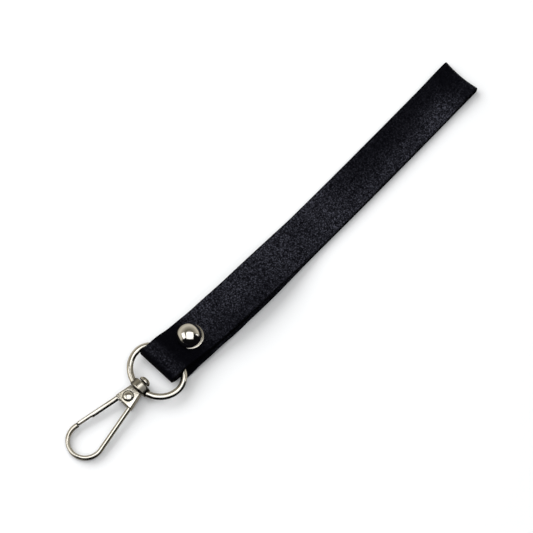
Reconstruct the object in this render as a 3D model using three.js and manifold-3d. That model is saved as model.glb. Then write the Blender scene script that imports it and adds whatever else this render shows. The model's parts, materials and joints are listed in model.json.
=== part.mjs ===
// Wristlet keychain: one leather strip folded into a flat wrist loop, a domed cap rivet,
// and a swivel snap hook on an oval eye. Millimetres, +Z up, lying flat on z = 0.
// +X runs along the strap from the hook to the far fold; the eye's centre is on y = 0.
import * as THREE from "three";
import { mergeVertices } from "three/addons/utils/BufferGeometryUtils.js";
import Module from "manifold-3d";

const wasm = await Module();
wasm.setup();

// ---------------------------------------------------------------- driving dimensions
const STRAP_WIDTH = 18;
const LEATHER = 1.3;
const LAYER_GAP = 0.15;
const STRAP_Y = -0.7; // the strap sits a little to one side of the eye

const FOLD_X = -66.8; // front of the fold round the eye
const FAR_X = 115; // outside of the far fold
const RIVET_X = FOLD_X + 19.2;
const RIVET_Y = STRAP_Y + 0.2;
const CUT_END_X = FOLD_X + 6.5; // cut end of the bottom run
const TAIL_END_X = FOLD_X + 42; // end of the turned-under tail
const HINGE_X = FOLD_X + 12.9; // where the tab bends up against the riveted stack

const STACK_BASE_Z = 2.0; // underside of the leather at the rivet, lifted by the back cap
const LENS_RISE = 1.4; // how far the top run stands above the rivet, inside the wrist loop
const STACK_HALF = 5; // flat part of the stack on each side of the rivet's centre
const RUN_OFF = 12; // length of the slope from the stack down to the floor
const CLOSING = [-17, 21]; // the top run comes down onto the bottom run between these x
const FAR_LIFT = [95, 111]; // and rises again to the far fold between these
const END_DROOP = 1.75; // how far the bottom run's cut end hangs below the stack
const TAIL_RISE = 0.6;
const FAR_FOLD_HEIGHT = 3.6;
const BOTTOM_SKEW = 1.9; // the bottom run lies this far to -y of the top run at the fold
const SKEW_FADE = [-54, -22]; // and comes under it again between these x

const RIVET_SIDES = 40;
const DOME_RADIUS = 5.2;
const DOME_WALL = 0.4;
const DOME_RIM = 0.1; // how far the dome's rolled rim stands out
const SOCKET_RADIUS = 4.0;
const SOCKET_HEIGHT = 2.8;
const FLANGE_THICKNESS = 0.5;
const POST_RADIUS = 1.5;
const POST_HEIGHT = 2.6; // of the post's tip above the leather
const FOOT_RADIUS = 3.9;
const FOOT_THICKNESS = 0.55;
const BACK_CAP_RADIUS = 4.7;
const BACK_CAP_WALL = 0.5;
const BACK_CAP_DEPTH = 1.3; // of its dished foot

const WIRE_RADIUS = 1.3;
const EYE_HALF_WIDTH = 11.75;
const EYE_FRONT = 10.45; // eye centre to the wire's centreline at the hook
const EYE_BACK = 9.0; // eye centre to the wire's centreline inside the tab
const CLASP_Y = 0.4; // play in the swivel lets the hook sit a little to one side
const TUNNEL_RADIUS = 1.65;
const TUNNEL_PLAY = 0.6; // room behind the wire, which the oval eye needs when it turns
const WIRE_Z = 4.95; // centre of the wire inside the tab

const EYE_FROM_PIN = 16.05; // gate pin to eye centre, along the clasp
const LOOP_CENTRE_X = -24.2;
const LOOP_RADIUS = 7.2; // centreline of the hook's round end
const BAR_WIDTH = 1.6;
const NOSE_ANGLE = (72 * Math.PI) / 180; // where the round end stops, from +x
const GATE_SLOPE = (11.2 * Math.PI) / 180;
const BAR_HEIGHT = 3.2;
const CHEEK_HEIGHT = 4.6;
const SLOT_HEIGHT = 3.0;
const SLOT_END_X = 2.3;
const GATE_HEIGHT = 2.6;
const GATE_PIN_RADIUS = 0.75;
const PIN_HEAD_RADIUS = 1.8;
const PIN_HEAD_HEIGHT = 0.96;
const PIN_FOOT_RADIUS = 1.5;
const PIN_FOOT_HEIGHT = 0.5;
const SWIVEL_RADIUS = 1.1;
const SWIVEL_END_PLAY = 1.0;
const BOSS_FROM = 4.6; // the eye's boss, along the clasp from the gate pin
const BOSS_TO = 7.9;
const BOSS_HALF_WIDTH = 4.1;
const BOSS_FLATNESS = 0.66; // its height over its width
const HEAD_RADIUS = 2.2; // of the swivel pin
const HEAD_HEIGHT = 1.95;
const FIT_GAP = 0.3;

// Heights of the leather layers at the rivet, centre of each layer.
const BOTTOM_Z = STACK_BASE_Z + LEATHER / 2;
const TAIL_Z = BOTTOM_Z + LEATHER + LAYER_GAP;
const TOP_Z = TAIL_Z + LEATHER + LAYER_GAP;
const STACK_TOP_Z = TOP_Z + LEATHER / 2;
const HINGE_Z = (TAIL_Z + TOP_Z) / 2;
const BEAD_RADIUS = STACK_TOP_Z - HINGE_Z;
const WIRE_X = FOLD_X + EYE_BACK;
const HOOK_TIP_X = LOOP_CENTRE_X - LOOP_RADIUS - BAR_WIDTH / 2;
const CLASP_TILT = Math.asin(
  (WIRE_Z - BAR_HEIGHT / 2) / (EYE_FROM_PIN + EYE_BACK - HOOK_TIP_X),
);

// ---------------------------------------------------------------- materials
const leather = new THREE.MeshStandardMaterial({
  name: "leather",
  color: 0x1b1c22,
  roughness: 0.55,
  metalness: 0,
});
const nickel = new THREE.MeshStandardMaterial({
  name: "nickel",
  color: 0xdad6cc,
  roughness: 0.18,
  metalness: 1,
});
const springSteel = new THREE.MeshStandardMaterial({
  name: "spring_steel",
  color: 0x9a9890,
  roughness: 0.35,
  metalness: 1,
});

// ---------------------------------------------------------------- helpers
function solidOf(geometry) {
  const bare = geometry.clone();
  bare.deleteAttribute("normal");
  bare.deleteAttribute("uv");
  const merged = mergeVertices(bare, 1e-4);
  return new wasm.Manifold(
    new wasm.Mesh({
      numProp: 3,
      vertProperties: merged.attributes.position.array,
      triVerts: new Uint32Array(merged.index.array),
    }),
  );
}

function meshOf(name, solid, material) {
  const mesh = solid.getMesh();
  const geometry = new THREE.BufferGeometry();
  geometry.setAttribute("position", new THREE.BufferAttribute(mesh.vertProperties, 3));
  geometry.setIndex(new THREE.BufferAttribute(mesh.triVerts, 1));
  geometry.computeVertexNormals();
  const piece = new THREE.Mesh(geometry, material);
  piece.name = name;
  return piece;
}

function smooth(from, to, x) {
  return THREE.MathUtils.smoothstep(x, from, to);
}

function stations(from, to, count) {
  return Array.from({ length: count + 1 }, (_, i) => from + ((to - from) * i) / count);
}

// A cylinder along Z, or along X or Y when turned.
function rod(radius, length, sides, axis = "z") {
  const geometry = new THREE.CylinderGeometry(radius, radius, length, sides);
  if (axis === "z") geometry.rotateX(Math.PI / 2);
  if (axis === "x") geometry.rotateZ(-Math.PI / 2);
  return geometry;
}

// A turned piece: profile points are [radius, height], and the axis becomes Z.
function turned(profile, sides) {
  const points = profile.map(([r, z]) => new THREE.Vector2(r, z));
  return new THREE.LatheGeometry(points, sides).rotateX(Math.PI / 2);
}

function arcPoints(cx, cy, radius, fromAngle, toAngle, count) {
  return stations(fromAngle, toAngle, count).map(
    (a) => new THREE.Vector2(cx + radius * Math.cos(a), cy + radius * Math.sin(a)),
  );
}

// The closed outline of a band of constant thickness along an open centreline.
function bandOutline(centre, thickness) {
  const sides = [[], []];
  centre.forEach((point, i) => {
    const before = centre[Math.max(i - 1, 0)];
    const after = centre[Math.min(i + 1, centre.length - 1)];
    const along = after.clone().sub(before).normalize();
    const across = new THREE.Vector2(-along.y, along.x).multiplyScalar(thickness / 2);
    sides[0].push(point.clone().add(across));
    sides[1].push(point.clone().sub(across));
  });
  return [...sides[0], ...sides[1].reverse()];
}

// ---------------------------------------------------------------- leather strip
// Sideways drift of the strap's centreline as it lies, from the fold round the eye to the far
// fold.
const drift = new THREE.SplineCurve(
  [
    [FOLD_X - 1, 1.8],
    [FOLD_X + 9, 1.25],
    [RIVET_X, 0.45],
    [-30, -0.85],
    [-13, -1.2],
    [10, -0.6],
    [45, -0.1],
    [80, 0.65],
    [FAR_X, 1.6],
  ].map(([x, y]) => new THREE.Vector2(x, y)),
).getPoints(160);

function driftAt(x) {
  const i = drift.findIndex((p) => p.x >= x);
  if (i <= 0) return i === 0 ? drift[0].y : drift.at(-1).y;
  const t = (x - drift[i - 1].x) / (drift[i].x - drift[i - 1].x);
  return THREE.MathUtils.lerp(drift[i - 1].y, drift[i].y, t);
}

// Extra sideways place of the bottom run, which isn't folded straight under the top run.
function bottomSkewAt(x, z) {
  return z < TAIL_Z ? -BOTTOM_SKEW * (1 - smooth(...SKEW_FADE, x)) : 0;
}

// An outline in the X-Z plane made into a strip as wide as the strap; sideAt(x, z) is its drift.
function strapSolid(outline, holes = [], sideAt = driftAt) {
  const shape = new THREE.Shape(outline);
  shape.holes = holes.map((points) => new THREE.Path(points));
  const geometry = new THREE.ExtrudeGeometry(shape, {
    depth: STRAP_WIDTH,
    bevelEnabled: false,
  });
  geometry.rotateX(Math.PI / 2).translate(0, STRAP_Y + STRAP_WIDTH / 2, 0);
  const position = geometry.attributes.position;
  for (let i = 0; i < position.count; i += 1) {
    position.setY(i, position.getY(i) + sideAt(position.getX(i), position.getZ(i)));
  }
  return solidOf(geometry);
}

// Centre heights of the runs at x: on the back cap at the rivet, on the floor beyond it.
function bottomRunZ(x) {
  const stackEnd = RIVET_X + STACK_HALF;
  const rivetLift = STACK_BASE_Z * (1 - smooth(stackEnd, stackEnd + RUN_OFF, x));
  const endDroop = END_DROOP * (1 - smooth(WIRE_X, RIVET_X - STACK_HALF, x));
  return LEATHER / 2 + rivetLift - endDroop;
}

function topRunZ(x) {
  const closedZ = 1.5 * LEATHER + LAYER_GAP;
  const stackEnd = RIVET_X + STACK_HALF;
  const lens = TOP_Z + LENS_RISE * smooth(stackEnd, stackEnd + RUN_OFF, x);
  const closing = (TOP_Z + LENS_RISE - closedZ) * smooth(...CLOSING, x);
  const farLift = (FAR_FOLD_HEIGHT - LEATHER / 2 - closedZ) * smooth(...FAR_LIFT, x);
  return lens - closing + farLift;
}

function tailZ(x) {
  return TAIL_Z + TAIL_RISE * smooth(RIVET_X + STACK_HALF, TAIL_END_X, x);
}

function rivetHole() {
  const hole = rod(POST_RADIUS + FIT_GAP, 30, 32).translate(RIVET_X, RIVET_Y, 0);
  return solidOf(hole);
}

function hingeClearance() {
  const barrel = rod(BEAD_RADIUS + FIT_GAP, 3 * STRAP_WIDTH, 48, "y");
  return solidOf(barrel.translate(HINGE_X, STRAP_Y, HINGE_Z));
}

// Bottom run from its cut end, the far fold, and the top run back to the hinge line.
function strapLoop() {
  const foldRadius = (FAR_FOLD_HEIGHT - LEATHER) / 2;
  const foldX = FAR_X - LEATHER / 2 - foldRadius;
  const foldZ = LEATHER / 2 + foldRadius;
  const bottom = stations(CUT_END_X, foldX, 72).map((x) => [x, bottomRunZ(x)]);
  const top = stations(foldX, HINGE_X, 72).map((x) => [x, topRunZ(x)]);
  const fold = arcPoints(foldX, foldZ, foldRadius, -Math.PI / 2, Math.PI / 2, 12);
  const centre = [
    ...bottom.slice(0, -1).map(([x, z]) => new THREE.Vector2(x, z)),
    ...fold,
    ...top.slice(1).map(([x, z]) => new THREE.Vector2(x, z)),
  ];
  const sideAt = (x, z) => driftAt(x) + bottomSkewAt(x, z);
  const band = strapSolid(bandOutline(centre, LEATHER), [], sideAt);
  return band.subtract(hingeClearance()).subtract(rivetHole());
}

function strapTail() {
  const centre = stations(HINGE_X, TAIL_END_X, 16).map(
    (x) => new THREE.Vector2(x, tailZ(x)),
  );
  const band = strapSolid(bandOutline(centre, LEATHER));
  return band.subtract(hingeClearance()).subtract(rivetHole());
}

// The fold round the eye: two layers that part round a tunnel and meet in a rounded bead
// on the hinge line.
function ringTab() {
  const noseRadius = TUNNEL_RADIUS + LEATHER;
  const noseX = FOLD_X + noseRadius;
  const halfHeight = (x) =>
    BEAD_RADIUS + (noseRadius - BEAD_RADIUS) * (1 - smooth(WIRE_X, HINGE_X - 0.3, x));
  const middle = (x) => HINGE_Z + (WIRE_Z - HINGE_Z) * (1 - smooth(WIRE_X, HINGE_X, x));
  const flank = stations(HINGE_X, noseX, 14).slice(1, -1);
  const outline = [
    ...arcPoints(HINGE_X, HINGE_Z, BEAD_RADIUS, -Math.PI / 2, Math.PI / 2, 12),
    ...flank.map((x) => new THREE.Vector2(x, middle(x) + halfHeight(x))),
    ...arcPoints(noseX, WIRE_Z, noseRadius, Math.PI / 2, (3 * Math.PI) / 2, 16),
    ...flank.reverse().map((x) => new THREE.Vector2(x, middle(x) - halfHeight(x))),
  ];
  const tunnel = [
    ...arcPoints(WIRE_X + TUNNEL_PLAY, WIRE_Z, TUNNEL_RADIUS, -Math.PI / 2, Math.PI / 2, 12),
    ...arcPoints(noseX, WIRE_Z, TUNNEL_RADIUS, Math.PI / 2, (3 * Math.PI) / 2, 12),
  ];
  return strapSolid(outline, [tunnel]);
}

// ---------------------------------------------------------------- cap rivet
const CAP_BASE_Z = STACK_TOP_Z + LAYER_GAP;

// Hollow half-ball cap with a rolled rim, open below.
function rivetDome() {
  const inside = DOME_RADIUS - DOME_WALL;
  const springZ = CAP_BASE_Z + FLANGE_THICKNESS;
  const outer = arcPoints(0, springZ, DOME_RADIUS, 0.04, Math.PI / 2, 14);
  const inner = arcPoints(0, springZ, inside, Math.PI / 2, 0, 10);
  return turned(
    [
      [inside, CAP_BASE_Z],
      [DOME_RADIUS + 0.6 * DOME_RIM, CAP_BASE_Z],
      [DOME_RADIUS + DOME_RIM, CAP_BASE_Z + FLANGE_THICKNESS / 2],
      [DOME_RADIUS + 0.6 * DOME_RIM, springZ],
      ...outer.slice(0, -1).map((p) => [p.x, p.y]),
      [0, springZ + DOME_RADIUS],
      [0, springZ + inside],
      ...inner.slice(1).map((p) => [p.x, p.y]),
      [inside, CAP_BASE_Z],
    ],
    RIVET_SIDES,
  );
}

// Flange and eyelet inside the cap, which grips the post.
function rivetSocket() {
  const bore = POST_RADIUS + 0.2;
  const barrel = bore + FLANGE_THICKNESS;
  return turned(
    [
      [bore, CAP_BASE_Z],
      [SOCKET_RADIUS, CAP_BASE_Z],
      [SOCKET_RADIUS, CAP_BASE_Z + FLANGE_THICKNESS],
      [barrel, CAP_BASE_Z + FLANGE_THICKNESS],
      [barrel, CAP_BASE_Z + SOCKET_HEIGHT],
      [bore, CAP_BASE_Z + SOCKET_HEIGHT],
      [bore, CAP_BASE_Z],
    ],
    RIVET_SIDES,
  );
}

// Post with its foot flange, which the back cap holds.
function rivetPost() {
  const footTop = STACK_BASE_Z - LAYER_GAP;
  const tip = CAP_BASE_Z + POST_HEIGHT;
  const chamfer = 0.4;
  return turned(
    [
      [0, footTop - FOOT_THICKNESS],
      [FOOT_RADIUS, footTop - FOOT_THICKNESS],
      [FOOT_RADIUS, footTop],
      [POST_RADIUS, footTop],
      [POST_RADIUS, tip - chamfer],
      [POST_RADIUS - chamfer, tip],
      [0, tip],
    ],
    RIVET_SIDES,
  );
}

// Shallow cap under the strap, a cup that opens upwards: a dished foot and a straight rim.
function rivetBackCap() {
  const rimTop = STACK_BASE_Z - LAYER_GAP;
  const inside = BACK_CAP_RADIUS - BACK_CAP_WALL;
  const dish = (radius, from) =>
    stations(-Math.PI / 2, 0, 5).map((a) => [
      radius * Math.cos(a),
      from + (BACK_CAP_DEPTH - from) * (1 + Math.sin(a)),
    ]);
  return turned(
    [
      ...dish(BACK_CAP_RADIUS, 0),
      [BACK_CAP_RADIUS, rimTop],
      [inside, rimTop],
      ...dish(inside, BACK_CAP_WALL).reverse(),
    ],
    RIVET_SIDES,
  );
}

// ---------------------------------------------------------------- swivel clasp
// Clasp frame: origin on the gate pin, +x towards the strap, +z up through the cheeks.

// Distance of the eye's centreline from its centre, at an angle from +x.
function eyeRadius(angle) {
  const reach = Math.cos(angle) > 0 ? EYE_BACK : EYE_FRONT;
  return 1 / Math.hypot(Math.cos(angle) / reach, Math.sin(angle) / EYE_HALF_WIDTH);
}

function swivelEye() {
  const ring = new THREE.TorusGeometry(EYE_HALF_WIDTH, WIRE_RADIUS, 12, 72);
  const position = ring.attributes.position;
  for (let i = 0; i < position.count; i += 1) {
    const x = position.getX(i);
    const y = position.getY(i);
    const angle = Math.atan2(y, x);
    const radius = Math.hypot(x, y) - EYE_HALF_WIDTH + eyeRadius(angle);
    position.setXY(i, radius * Math.cos(angle), radius * Math.sin(angle));
  }
  ring.translate(EYE_FROM_PIN, -CLASP_Y, 0);
  const boss = turned(
    [
      [0, BOSS_FROM],
      [BOSS_HALF_WIDTH - 0.4, BOSS_FROM],
      [BOSS_HALF_WIDTH, BOSS_FROM + 0.5],
      [BOSS_HALF_WIDTH, BOSS_TO - 0.7],
      [BOSS_HALF_WIDTH - 0.6, BOSS_TO],
      [0, BOSS_TO],
    ],
    32,
  );
  boss.rotateY(Math.PI / 2).scale(1, 1, BOSS_FLATNESS).translate(0, -CLASP_Y, 0);
  const bore = rod(SWIVEL_RADIUS + FIT_GAP, 12, 24, "x").translate(BOSS_FROM, 0, 0);
  return solidOf(ring).add(solidOf(boss)).subtract(solidOf(bore));
}

// Headed pin that holds the hook in the eye's boss and turns with the hook.
function swivelPin() {
  const headBase = BOSS_TO + SWIVEL_END_PLAY;
  const peenedRadius = SWIVEL_RADIUS + 0.1;
  const pin = turned(
    [
      [0, SLOT_END_X - 0.4],
      [peenedRadius, SLOT_END_X - 0.4],
      [peenedRadius, SLOT_END_X - 0.1],
      [SWIVEL_RADIUS, SLOT_END_X - 0.1],
      [SWIVEL_RADIUS, headBase],
      [HEAD_RADIUS, headBase],
      [HEAD_RADIUS, headBase + 0.3 * HEAD_HEIGHT],
      [0.82 * HEAD_RADIUS, headBase + 0.67 * HEAD_HEIGHT],
      [0.45 * HEAD_RADIUS, headBase + 0.92 * HEAD_HEIGHT],
      [0, headBase + HEAD_HEIGHT],
    ],
    24,
  );
  return solidOf(pin.rotateY(Math.PI / 2));
}

const BLOCK_TOP_X = 4.05;
const BLOCK_FOOT_X = -3.1;
const BLOCK_TOP_HALF = 2.65;
const BLOCK_FOOT_HALF = 4.2;
const SPINE_INSET = 0.35; // the spine's outer side, in from the block's corner
const SPINE_START_X = BLOCK_FOOT_X + 1.5;
const BAR_INNER_Y = -2.5; // inner side of the hook's spine where it leaves the block

function platform(points, height, bevel) {
  const geometry = new THREE.ExtrudeGeometry(new THREE.Shape(points), {
    depth: height - 2 * bevel,
    bevelEnabled: bevel > 0,
    bevelThickness: bevel,
    bevelSize: bevel,
    bevelOffset: -bevel,
    bevelSegments: 2,
    curveSegments: 12,
  });
  return geometry.translate(0, 0, bevel - height / 2);
}

// Where a straight bar from the block runs into the round end without a kink.
function tangentAngle(startX, startY) {
  const distance = Math.hypot(LOOP_CENTRE_X - startX, startY);
  const toCentre = Math.atan2(Math.abs(startY), startX - LOOP_CENTRE_X);
  return toCentre + Math.acos(LOOP_RADIUS / distance);
}

function hookBody() {
  const spineStart = [SPINE_START_X, -(BLOCK_FOOT_HALF - SPINE_INSET - BAR_WIDTH / 2)];
  const lower = tangentAngle(...spineStart);
  const centre = [
    new THREE.Vector2(...spineStart),
    ...arcPoints(LOOP_CENTRE_X, 0, LOOP_RADIUS, -lower, -2 * Math.PI + NOSE_ANGLE, 36),
  ];
  const bar = platform(bandOutline(centre, BAR_WIDTH), BAR_HEIGHT, 0.35);
  const block = platform(
    [
      [BLOCK_TOP_X, -BLOCK_TOP_HALF],
      [BLOCK_TOP_X, BLOCK_TOP_HALF],
      [BLOCK_FOOT_X, BLOCK_FOOT_HALF - 0.2],
      [BLOCK_FOOT_X, -BLOCK_FOOT_HALF],
    ].map(([x, y]) => new THREE.Vector2(x, y)),
    CHEEK_HEIGHT,
    0.3,
  );
  const slot = new THREE.BoxGeometry(12, 12, SLOT_HEIGHT).translate(
    SLOT_END_X - 6,
    6 + BAR_INNER_Y,
    0,
  );
  const gateBore = rod(GATE_PIN_RADIUS + 0.15, 12, 24);
  const swivelBore = rod(SWIVEL_RADIUS + 0.2, 6, 24, "x").translate(SLOT_END_X + 2.5, 0, 0);
  return solidOf(block)
    .subtract(solidOf(slot))
    .add(solidOf(bar))
    .subtract(solidOf(gateBore))
    .subtract(solidOf(swivelBore));
}

// ---------------------------------------------------------------- gate
const LOOP_OUTER = LOOP_RADIUS + BAR_WIDTH / 2;
const NOSE_X = LOOP_CENTRE_X + LOOP_RADIUS * Math.cos(NOSE_ANGLE);
const GATE_TIP_X = NOSE_X + 0.35;
const GATE_ROOT_X = -2.2;
const GATE_STEP_X = -15.2; // the channel's deep sides end here
const DEEP_SIDE = 1.75;
const SHALLOW_SIDE = 1.15;

// Outer face of the gate's web at x: the straight line that touches the hook's round end.
function gateOuterY(x) {
  const along = (x - LOOP_CENTRE_X) * Math.sin(GATE_SLOPE);
  return (LOOP_OUTER - along) / Math.cos(GATE_SLOPE);
}

function gateStrip(fromX, toX, outer, inner) {
  return [
    new THREE.Vector2(fromX, gateOuterY(fromX) - outer),
    new THREE.Vector2(toX, gateOuterY(toX) - outer),
    new THREE.Vector2(toX, gateOuterY(toX) - inner),
    new THREE.Vector2(fromX, gateOuterY(fromX) - inner),
  ];
}

const GATE_LUG_RADIUS = 1.6;
const CHANNEL_HALF = 0.75; // half height of the channel between the gate's sides

// Folded channel: a web outside, two sides that reach in to the pin, deep up to a step.
function gateLever() {
  const web = solidOf(platform(gateStrip(GATE_ROOT_X, GATE_TIP_X, 0, SHALLOW_SIDE), GATE_HEIGHT, 0));
  const deep = solidOf(platform(gateStrip(GATE_ROOT_X, GATE_STEP_X, 0, DEEP_SIDE), GATE_HEIGHT, 0));
  const lug = solidOf(rod(GATE_LUG_RADIUS, GATE_HEIGHT, 32));
  const neck = solidOf(
    platform(
      [
        [-0.4, GATE_LUG_RADIUS],
        [GATE_ROOT_X - 1.6, gateOuterY(GATE_ROOT_X - 1.6) - 0.1],
        [GATE_ROOT_X - 3, gateOuterY(GATE_ROOT_X - 3) - DEEP_SIDE],
        [-0.6, -GATE_LUG_RADIUS + 0.1],
      ].map(([x, y]) => new THREE.Vector2(x, y)),
      GATE_HEIGHT,
      0,
    ),
  );
  const channel = platform(
    [
      ...gateStrip(GATE_ROOT_X - 0.3, GATE_STEP_X - 3, 0.7, 6).slice(0, 3),
      new THREE.Vector2(4, -6),
      new THREE.Vector2(4, 1.7),
    ],
    2 * CHANNEL_HALF,
    0,
  );
  const bore = rod(GATE_PIN_RADIUS + 0.15, 12, 24);
  return web
    .add(deep)
    .add(neck)
    .add(lug)
    .subtract(solidOf(channel))
    .subtract(solidOf(bore));
}

// Cross pin through the cheeks, domed above and peened flat below.
function gateHingePin() {
  const top = CHEEK_HEIGHT / 2 + 0.1;
  const head = stations(0, Math.PI / 2, 5).map((a) => [
    PIN_HEAD_RADIUS * Math.cos(a),
    top + PIN_HEAD_HEIGHT * Math.sin(a),
  ]);
  return turned(
    [
      [0, -top - PIN_FOOT_HEIGHT],
      [PIN_FOOT_RADIUS - 0.2, -top - PIN_FOOT_HEIGHT],
      [PIN_FOOT_RADIUS, -top - PIN_FOOT_HEIGHT / 2],
      [PIN_FOOT_RADIUS, -top],
      [GATE_PIN_RADIUS, -top],
      [GATE_PIN_RADIUS, top],
      ...head,
    ],
    24,
  );
}

// Torsion spring round the pin: one leg lies along the gate's web, the other on the block.
function gateSpring() {
  const coil = 1.22;
  const wire = 0.2;
  const turns = 2.5;
  const pitch = 0.46;
  const start = -0.5 * Math.PI;
  const points = [new THREE.Vector3(-1.9, -coil - 0.1, -0.52)];
  for (let i = 0; i <= turns * 12; i += 1) {
    const angle = start - (i / 12) * 2 * Math.PI;
    const z = ((i / 12) - turns / 2) * pitch * 0.9;
    points.push(new THREE.Vector3(coil * Math.cos(angle), coil * Math.sin(angle), z));
  }
  points.push(new THREE.Vector3(-2.6, 2.3, 0.5), new THREE.Vector3(-7, 3.35, 0.45));
  const path = new THREE.CatmullRomCurve3(points, false, "centripetal");
  const section = new THREE.Shape(arcPoints(0, 0, wire, 0, 2 * Math.PI, 6).slice(0, -1));
  return new THREE.ExtrudeGeometry(section, { steps: 90, extrudePath: path });
}

// ---------------------------------------------------------------- assembly
function plainMesh(name, geometry, material) {
  return meshOf(name, solidOf(geometry), material);
}

const strap = new THREE.Group();
strap.add(
  meshOf("strap_loop", strapLoop(), leather),
  meshOf("strap_tail", strapTail(), leather),
  meshOf("ring_tab", ringTab(), leather),
);

const rivet = new THREE.Group();
rivet.position.set(RIVET_X, RIVET_Y, 0);
rivet.add(
  plainMesh("rivet_dome", rivetDome(), nickel),
  plainMesh("rivet_socket", rivetSocket(), nickel),
  plainMesh("rivet_post", rivetPost(), nickel),
  plainMesh("rivet_back_cap", rivetBackCap(), nickel),
);

// The clasp leans on its round end: it turns about the wire inside the tab.
const clasp = new THREE.Group();
clasp.add(
  meshOf("swivel_eye", swivelEye(), nickel),
  meshOf("swivel_pin", swivelPin(), nickel),
  meshOf("hook_body", hookBody(), nickel),
  meshOf("gate_lever", gateLever(), nickel),
  plainMesh("gate_hinge_pin", gateHingePin(), nickel),
  plainMesh("gate_spring", gateSpring(), springSteel),
);
clasp.position.set(-(EYE_FROM_PIN + EYE_BACK), CLASP_Y, 0);
const claspLean = new THREE.Group();
claspLean.position.set(WIRE_X, 0, WIRE_Z);
claspLean.rotation.y = -CLASP_TILT;
claspLean.add(clasp);

const wristlet = new THREE.Group();
wristlet.add(strap, rivet, claspLean);

export default wristlet;
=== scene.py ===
"""The looks of the wristlet keychain: folded leather strip, cap rivet, swivel eye and snap hook.

Everything is in metres in the part's own frame. The clasp's pieces are shaped in the clasp's own
frame (origin on the gate pin, +X towards the strap, +Z up through the cheeks) and then placed by
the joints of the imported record.
"""

import json
import math

import bmesh
import bpy
import numpy as np
from mathutils import Matrix, Vector

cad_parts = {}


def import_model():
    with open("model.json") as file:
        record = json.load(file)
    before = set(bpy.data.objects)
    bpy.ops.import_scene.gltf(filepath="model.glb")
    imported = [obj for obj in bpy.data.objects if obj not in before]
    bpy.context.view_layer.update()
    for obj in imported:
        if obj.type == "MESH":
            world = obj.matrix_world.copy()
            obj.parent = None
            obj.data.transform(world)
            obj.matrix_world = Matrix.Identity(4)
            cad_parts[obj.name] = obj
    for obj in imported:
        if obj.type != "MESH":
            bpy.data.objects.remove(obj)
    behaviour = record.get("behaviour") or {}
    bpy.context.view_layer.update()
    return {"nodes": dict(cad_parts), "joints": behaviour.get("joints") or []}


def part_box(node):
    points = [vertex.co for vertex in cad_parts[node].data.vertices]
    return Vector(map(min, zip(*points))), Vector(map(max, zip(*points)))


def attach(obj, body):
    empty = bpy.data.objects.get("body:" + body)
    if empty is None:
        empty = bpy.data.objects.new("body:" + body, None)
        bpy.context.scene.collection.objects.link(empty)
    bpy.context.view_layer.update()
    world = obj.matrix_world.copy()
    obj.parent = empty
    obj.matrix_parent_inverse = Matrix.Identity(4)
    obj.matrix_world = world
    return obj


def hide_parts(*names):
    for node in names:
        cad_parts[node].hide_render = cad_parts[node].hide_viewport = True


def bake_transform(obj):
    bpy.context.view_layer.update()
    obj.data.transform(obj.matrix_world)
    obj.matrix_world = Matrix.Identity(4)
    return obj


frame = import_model()
MM = 0.001

# ------------------------------------------------------------------ places, from the frame
JOINTS = {joint["name"]: joint for joint in frame["joints"]}


def millimetres(point):
    return Vector(point) / MM


TAB_LOW = millimetres(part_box("ring_tab")[0])
LOOP_LOW, LOOP_HIGH = (millimetres(p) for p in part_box("strap_loop"))
TAIL_HIGH = millimetres(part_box("strap_tail")[1])
DOME_LOW, DOME_HIGH = (millimetres(p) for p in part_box("rivet_dome"))
CAP_HIGH = millimetres(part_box("rivet_back_cap")[1])
HINGE = millimetres(JOINTS["tab_flex"]["pos_m"])
PIN = millimetres(JOINTS["gate_open"]["pos_m"])
CLASP_X = Vector(JOINTS["swivel_spin"]["axis"]).normalized()
CLASP_Z = Vector(JOINTS["gate_open"]["axis"]).normalized()

FOLD_X = TAB_LOW.x
FAR_X = LOOP_HIGH.x + 0.7  # the leather's far fold bulges a little past the solid's
CUT_END_X = LOOP_LOW.x
TAIL_END_X = TAIL_HIGH.x
RIVET = (DOME_LOW + DOME_HIGH) / 2
STRAP_Y = RIVET.y - 0.2  # the rivet stands a little to one side of the strap's middle

# ------------------------------------------------------------------ driving sizes, millimetres
STRAP_WIDTH = 18.0
LEATHER = 1.3  # its thickness
EDGE_CORNER = 0.42  # rounding of the cut edges
LAYER_GAP = 0.15
STACK_BASE_Z = 2.0  # underside of the riveted stack
STACK_HALF = 5.0  # the stack is flat this far to each side of the rivet
RUN_OFF = 12.0  # length over which a run leaves the stack's height
LENS_RISE = 1.4  # how far the top run stands up beyond the stack
CLOSING = (-17.0, 21.0)  # x where the two runs come together
FAR_LIFT = (95.0, 111.0)  # x where the top run climbs to the far fold
FAR_FOLD_HEIGHT = 3.6
FAR_HOLLOW = 0.8  # how far the far fold's middle stands back from its sides
END_DROOP = 1.75  # how far the bottom run's cut end hangs below the stack
TAIL_RISE = 0.6
BOTTOM_SKEW = 1.6  # how far the bottom run's cut end lies to one side
SKEW_FADE = (-54.0, -22.0)
TAB_SLOPE = (-58.9, -51.5)  # x where the top run comes down from the eye's wire
TUNNEL_RADIUS = 1.65
WIRE_RADIUS = 1.3
WIRE_Z = 4.95
EYE_HALF_WIDTH = 11.75
EYE_FRONT = 10.45
EYE_BACK = 9.0
EYE_FROM_PIN = 16.05

BOTTOM_Z = STACK_BASE_Z + LEATHER / 2
TAIL_Z = BOTTOM_Z + LEATHER + LAYER_GAP
TOP_Z = TAIL_Z + LEATHER + LAYER_GAP
NOSE_RADIUS = TUNNEL_RADIUS + LEATHER
NOSE_X = FOLD_X + NOSE_RADIUS
WIRE_X = FOLD_X + EYE_BACK

CLASP_Y = PIN.y
CLASP = Matrix.Translation(PIN * MM) @ Matrix(
    (CLASP_X, CLASP_Z.cross(CLASP_X), CLASP_Z)
).transposed().to_4x4()


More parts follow.
